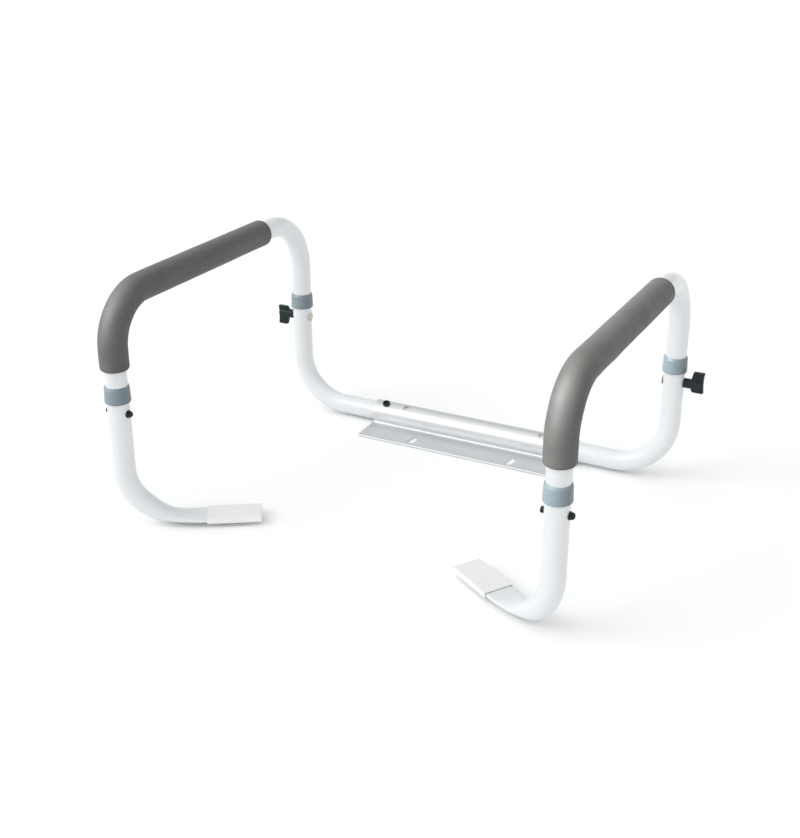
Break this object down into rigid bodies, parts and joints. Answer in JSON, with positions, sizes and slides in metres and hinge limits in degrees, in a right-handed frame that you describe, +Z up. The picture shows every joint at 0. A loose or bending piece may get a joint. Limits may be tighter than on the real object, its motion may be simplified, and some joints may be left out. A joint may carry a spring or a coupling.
{
  "type": "toilet safety frame",
  "caption": "Toilet safety frame: padded tubular arm loops on a slotted bracket that bolts under a toilet seat, adjustable in width and height, with padded foot rests.",
  "frame": {"origin": "underside of the centre bracket's flange, midway between its two seat-bolt slots", "axes": "+X to the right seen from in front of the toilet (the bracket runs along X), +Y away from the user towards the cistern, +Z up"},
  "size_m": [0.5936, 0.426, 0.2905],
  "materials": {
    "bracket_aluminium": "satin extruded",
    "tube_paint": "semi-gloss white powder coat on steel tube",
    "grip_foam": "matte closed-cell foam",
    "collar_plastic": "satin moulded",
    "knob_plastic": "fine-grained moulded",
    "insert_brass": "turned",
    "zinc_steel": "zinc plated",
    "black_steel": "black oxide",
    "cap_plastic": "smooth moulded"
  },
  "bodies": {
    "bracket": {"center_bracket": "bracket_aluminium", "left_width_lock_screw": "black_steel", "right_width_lock_screw": "black_steel"},
    "left_rear_frame": {"left_rear_lower_tube": "tube_paint", "left_rear_collar": "collar_plastic", "left_rear_lock_bolt": "zinc_steel"},
    "left_lock_knob": {"left_rear_lock_knob": "knob_plastic", "left_knob_insert": "insert_brass"},
    "left_handle": {"left_handle_tube": "tube_paint", "left_foam_grip": "grip_foam"},
    "left_front_leg": {"left_front_lower_tube": "tube_paint", "left_front_collar": "collar_plastic", "left_front_lock_bolt": "black_steel", "left_front_washer": "black_steel", "left_front_cap_nut": "black_steel", "left_foot_cap": "cap_plastic"},
    "right_rear_frame": {"right_rear_lower_tube": "tube_paint", "right_rear_collar": "collar_plastic", "right_rear_lock_bolt": "zinc_steel"},
    "right_lock_knob": {"right_rear_lock_knob": "knob_plastic", "right_knob_insert": "insert_brass"},
    "right_handle": {"right_handle_tube": "tube_paint", "right_foam_grip": "grip_foam"},
    "right_front_leg": {"right_front_lower_tube": "tube_paint", "right_front_collar": "collar_plastic", "right_front_lock_bolt": "black_steel", "right_front_washer": "black_steel", "right_front_cap_nut": "black_steel", "right_foot_cap": "cap_plastic"}
  },
  "joints": [
    {"name": "left_width_slide", "type": "slide", "parent": "bracket", "child": "left_rear_frame", "axis": [-1, 0, 0], "range_m": [-0.03, 0.03]},
    {"name": "left_height_slide", "type": "slide", "parent": "left_rear_frame", "child": "left_handle", "axis": [0, 0, 1], "range_m": [0, 0.04]},
    {"name": "left_front_leg_slide", "type": "slide", "parent": "left_handle", "child": "left_front_leg", "axis": [0, 0, -1], "range_m": [0, 0.04]},
    {"name": "left_knob_turn", "type": "hinge", "parent": "left_rear_frame", "child": "left_lock_knob", "pos_m": [-0.26, 0.041, 0.1345], "axis": [-1, 0, 0], "continuous": true},
    {"name": "right_width_slide", "type": "slide", "parent": "bracket", "child": "right_rear_frame", "axis": [1, 0, 0], "range_m": [-0.03, 0.03]},
    {"name": "right_height_slide", "type": "slide", "parent": "right_rear_frame", "child": "right_handle", "axis": [0, 0, 1], "range_m": [0, 0.04]},
    {"name": "right_front_leg_slide", "type": "slide", "parent": "right_handle", "child": "right_front_leg", "axis": [0, 0, -1], "range_m": [0, 0.04]},
    {"name": "right_knob_turn", "type": "hinge", "parent": "right_rear_frame", "child": "right_lock_knob", "pos_m": [0.26, 0.041, 0.1345], "axis": [1, 0, 0], "continuous": true}
  ]
}
